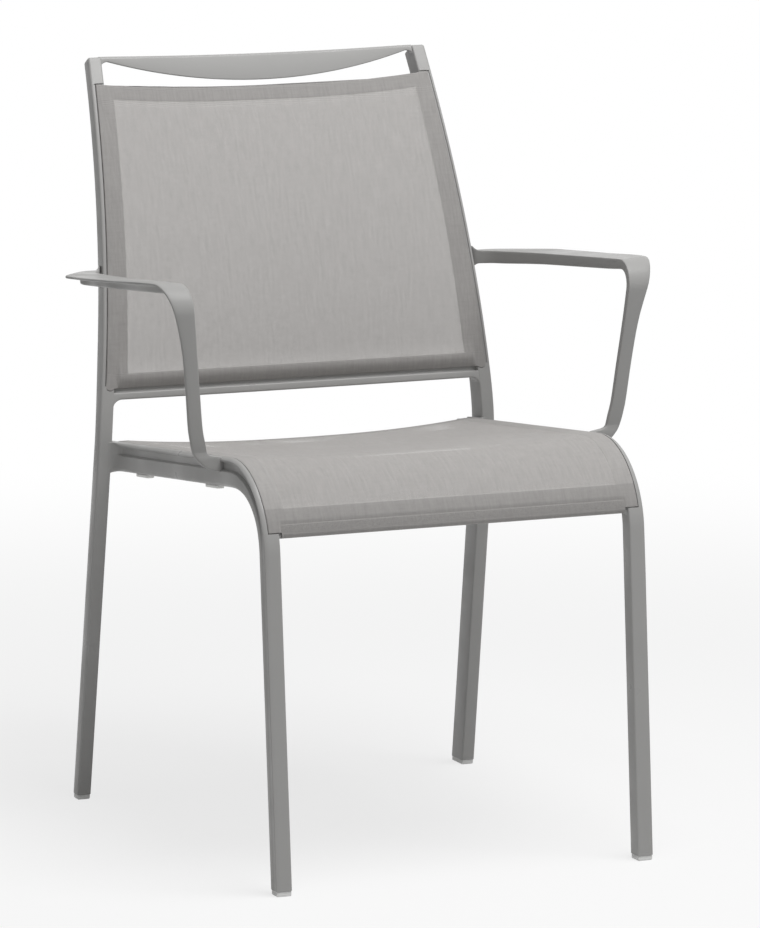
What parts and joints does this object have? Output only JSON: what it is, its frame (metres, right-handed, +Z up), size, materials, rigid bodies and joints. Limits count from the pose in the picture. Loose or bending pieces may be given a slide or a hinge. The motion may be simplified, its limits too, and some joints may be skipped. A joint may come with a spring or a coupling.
{
  "type": "sling patio armchair",
  "caption": "Stacking patio armchair with a slim bent metal frame, open armrests on flat posts and woven slings stretched over the seat and back.",
  "frame": {"origin": "on the floor, under the middle of the chair's bounding box", "axes": "+Z up, +X towards the right of a person facing the same way as a viewer in front of the chair looks (the viewer's right), -Y towards the front of the chair"},
  "size_m": [0.614, 0.6156, 0.856],
  "materials": {
    "frame": "satin grey powder coat on aluminium",
    "sling": "woven coated polyester mesh, warm light grey",
    "glide_and_pad": "moulded light grey plastic",
    "sling_rod": "extruded plastic rod, natural",
    "screw": "stainless steel"
  },
  "bodies": {
    "root": {"back_sling": "sling", "left_armrest": "frame", "left_back_sling_rod": "sling_rod", "left_front_flange_screw": "screw", "left_front_foot_glide": "glide_and_pad", "left_front_stacking_pad": "glide_and_pad", "left_rear_flange_screw": "screw", "left_rear_foot_glide": "glide_and_pad", "left_rear_stacking_pad": "glide_and_pad", "left_rear_upright": "frame", "left_seat_rail_and_front_leg": "frame", "left_seat_sling_rod": "sling_rod", "lower_back_rail": "frame", "right_armrest": "frame", "right_back_sling_rod": "sling_rod", "right_front_flange_screw": "screw", "right_front_foot_glide": "glide_and_pad", "right_front_stacking_pad": "glide_and_pad", "right_rear_flange_screw": "screw", "right_rear_foot_glide": "glide_and_pad", "right_rear_stacking_pad": "glide_and_pad", "right_rear_upright": "frame", "right_seat_rail_and_front_leg": "frame", "right_seat_sling_rod": "sling_rod", "seat_front_bar": "frame", "seat_rear_bar": "frame", "seat_sling": "sling", "seat_spreader_bar": "frame", "top_rail": "frame"}
  },
  "joints": []
}
